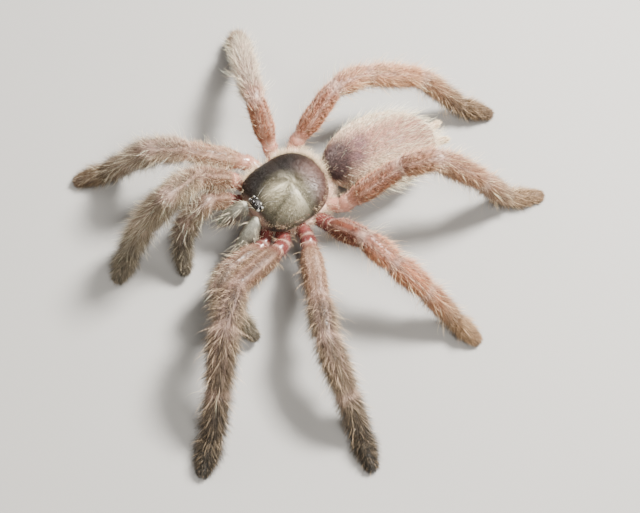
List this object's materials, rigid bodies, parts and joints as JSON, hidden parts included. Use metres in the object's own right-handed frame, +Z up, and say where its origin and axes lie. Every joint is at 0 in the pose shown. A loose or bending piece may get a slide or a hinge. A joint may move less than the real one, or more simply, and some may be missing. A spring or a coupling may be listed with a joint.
{
  "type": "purple tree tarantula model",
  "caption": "Life-size still model of a hairy purple tree tarantula standing on flat-footed spread legs, with domed carapace, eye mound, jaws, palps and egg-shaped abdomen.",
  "frame": {"origin": "centre of the bounding box at the level that the feet stand on", "axes": "+Z up, head along -Y, the animal's left side towards +X"},
  "size_m": [0.0964, 0.095, 0.027],
  "materials": {
    "shield": "dark horny skin with a green metallic sheen of short down",
    "hip": "smooth reddish skin, slightly glossy",
    "leg": "short brown fur with long pale bristles",
    "foot": "dense grey-brown fur with dark pads",
    "abdomen": "velvety pinkish skin with long pale bristles",
    "jaw": "grey-olive short fur",
    "fang": "polished black-brown horn",
    "eye": "wet glossy black"
  },
  "bodies": {
    "root": {"carapace": "shield", "eye_mound": "shield", "sternum": "shield", "labium": "shield", "pedicel": "hip", "abdomen": "abdomen", "spinneret_left": "abdomen", "spinneret_right": "abdomen", "chelicera_left": "jaw", "chelicera_right": "jaw", "fang_left": "fang", "fang_right": "fang", "eye_left_front_inner": "eye", "eye_left_front_outer": "eye", "eye_left_rear_inner": "eye", "eye_left_rear_outer": "eye", "eye_right_front_inner": "eye", "eye_right_front_outer": "eye", "eye_right_rear_inner": "eye", "eye_right_rear_outer": "eye", "palp_left_coxa": "hip", "palp_left_femur": "leg", "palp_left_tibia": "leg", "palp_left_tarsus": "foot", "palp_right_coxa": "hip", "palp_right_femur": "leg", "palp_right_tibia": "leg", "palp_right_tarsus": "foot", "leg_left_1_coxa": "hip", "leg_left_1_femur": "leg", "leg_left_1_tibia": "leg", "leg_left_1_foot": "foot", "leg_left_2_coxa": "hip", "leg_left_2_femur": "leg", "leg_left_2_tibia": "leg", "leg_left_2_foot": "foot", "leg_left_3_coxa": "hip", "leg_left_3_femur": "leg", "leg_left_3_tibia": "leg", "leg_left_3_foot": "foot", "leg_left_4_coxa": "hip", "leg_left_4_femur": "leg", "leg_left_4_tibia": "leg", "leg_left_4_foot": "foot", "leg_right_1_coxa": "hip", "leg_right_1_femur": "leg", "leg_right_1_tibia": "leg", "leg_right_1_foot": "foot", "leg_right_2_coxa": "hip", "leg_right_2_femur": "leg", "leg_right_2_tibia": "leg", "leg_right_2_foot": "foot", "leg_right_3_coxa": "hip", "leg_right_3_femur": "leg", "leg_right_3_tibia": "leg", "leg_right_3_foot": "foot", "leg_right_4_coxa": "hip", "leg_right_4_femur": "leg", "leg_right_4_tibia": "leg", "leg_right_4_foot": "foot"}
  },
  "joints": []
}
